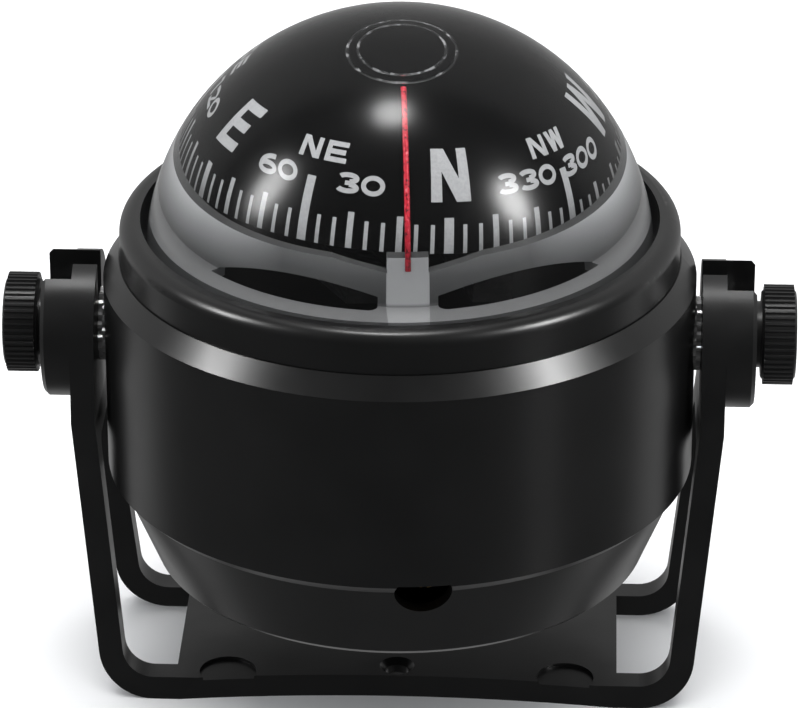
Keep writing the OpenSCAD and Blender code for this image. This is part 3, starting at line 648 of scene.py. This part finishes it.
# what glossy surfaces see of the world: place from the studio's front (0) to its back (1), and brightness
GLOSS_LEVELS = [(0.0, 0.06), (0.25, 0.17), (0.6, 0.17), (0.65, 0.6), (0.75, 0.75), (0.9, 0.62), (1.0, 0.6)]

CAMERA_AIM = PIVOT - UP * 3.7 * MM
CAMERA_AWAY = 0.6            # metres from its aim
CAMERA_AZIMUTH = 2.3         # degrees, as for the lamps
CAMERA_ELEVATION = 26.1
CAMERA_LENS = 212.4          # focal length for a sensor 36 mm wide


def towards(azimuth, elevation):
    """Unit vector from the compass. Azimuth 0 is the front, positive to the right. Both are in degrees."""
    a, e = math.radians(azimuth), math.radians(elevation)
    return Vector((math.sin(a) * math.cos(e), -math.cos(a) * math.cos(e), math.sin(e)))


def place_facing(piece, aim, way, away):
    """Puts a lamp or a camera at a distance from its aim and turns it back to the aim."""
    piece.location = aim + way * away
    piece.rotation_euler = way.to_track_quat("Z", "Y").to_euler()
    bpy.context.collection.objects.link(piece)


def floor():
    """A wide pale floor under the compass. It throws no shadow and is not seen in glossy surfaces."""
    mesh = bpy.data.meshes.new("studio_floor")
    corners = [(x * FLOOR_HALF, y * FLOOR_HALF, 0) for x, y in ((-1, -1), (1, -1), (1, 1), (-1, 1))]
    mesh.from_pydata(corners, [], [(0, 1, 2, 3)])
    mesh.materials.append(pale_floor("floor_pale"))
    piece = bpy.data.objects.new("studio_floor", mesh)
    piece.location.z = START_BOUNDS[0][2] - FLOOR_DROP
    piece.visible_glossy = False
    piece.visible_shadow = False
    bpy.context.collection.objects.link(piece)


def lamp(name, azimuth, elevation, away, size, power, shape="ELLIPSE", gloss_only=True):
    """An area lamp that faces the compass. away and size are in metres, power is in watts.

    A gloss-only lamp gives highlights and no more. The others give the even light and no highlights."""
    light = bpy.data.lights.new(name, "AREA")
    light.shape = shape
    light.size, light.size_y = size
    light.energy = power
    light.cycles.use_multiple_importance_sampling = not gloss_only
    piece = bpy.data.objects.new(name, light)
    piece.visible_diffuse = not gloss_only
    piece.visible_glossy = gloss_only
    place_facing(piece, PIVOT, towards(azimuth, elevation), away)


def world():
    """Even white light. Glossy surfaces see it dimly: dark at the front of the studio, paler at its back."""
    sky = bpy.data.worlds.new("studio_world")
    sky.use_nodes = True
    nodes, links = sky.node_tree.nodes, sky.node_tree.links
    even = nodes["Background"]
    even.inputs["Color"].default_value = SKY_COLOUR
    even.inputs["Strength"].default_value = SKY_STRENGTH

    dim = nodes.new("ShaderNodeBackground")
    depth = nodes.new("ShaderNodeSeparateXYZ")
    links.new(nodes.new("ShaderNodeTexCoord").outputs["Generated"], depth.inputs["Vector"])
    place = nodes.new("ShaderNodeMapRange")
    place.inputs["From Min"].default_value = -1.0
    links.new(depth.outputs["Y"], place.inputs["Value"])
    tone = nodes.new("ShaderNodeFloatCurve")
    curve = tone.mapping.curves[0]
    curve.points[0].location = GLOSS_LEVELS[0]
    curve.points[1].location = GLOSS_LEVELS[-1]
    for at_y, level in GLOSS_LEVELS[1:-1]:
        curve.points.new(at_y, level)
    tone.mapping.update()
    links.new(place.outputs["Result"], tone.inputs["Value"])
    links.new(tone.outputs["Value"], dim.inputs["Strength"])

    path = nodes.new("ShaderNodeLightPath")
    pick = nodes.new("ShaderNodeMixShader")
    links.new(path.outputs["Is Glossy Ray"], pick.inputs["Fac"])
    links.new(even.outputs["Background"], pick.inputs[1])
    links.new(dim.outputs["Background"], pick.inputs[2])
    links.new(pick.outputs["Shader"], nodes["World Output"].inputs["Surface"])
    bpy.context.scene.world = sky


def studio():
    """Floor, world and lamps. The boxes and the strip give the highlights seen in the photo."""
    floor()
    world()
    lamp("left_box", azimuth=-76, elevation=34, away=0.7, size=(0.135, 0.27), power=2.8)
    lamp("right_box", azimuth=67, elevation=35, away=0.7, size=(0.15, 0.24), power=3.8)
    lamp("top_box", azimuth=-90, elevation=87, away=0.7, size=(0.15, 0.15), power=1.8)
    lamp("right_strip", azimuth=57, elevation=-10, away=0.5, size=(0.07, 0.6), power=0.08, shape="RECTANGLE")
    lamp("fill", azimuth=0, elevation=90, away=1.4, size=(1.6, 1.6), power=26, gloss_only=False)
    bpy.context.scene.view_settings.view_transform = "Standard"


def camera():
    """The photo's view, from a little right of the front and above, aimed just below the tilt axis."""
    lens = bpy.data.cameras.new("photo_camera")
    lens.lens = CAMERA_LENS
    lens.sensor_width = 36.0
    lens.clip_start = 0.05
    lens.clip_end = 20
    piece = bpy.data.objects.new("photo_camera", lens)
    place_facing(piece, CAMERA_AIM, towards(CAMERA_AZIMUTH, CAMERA_ELEVATION), CAMERA_AWAY)
    bpy.context.scene.camera = piece


dress_nodes()
draw_dial()
studio()
camera()
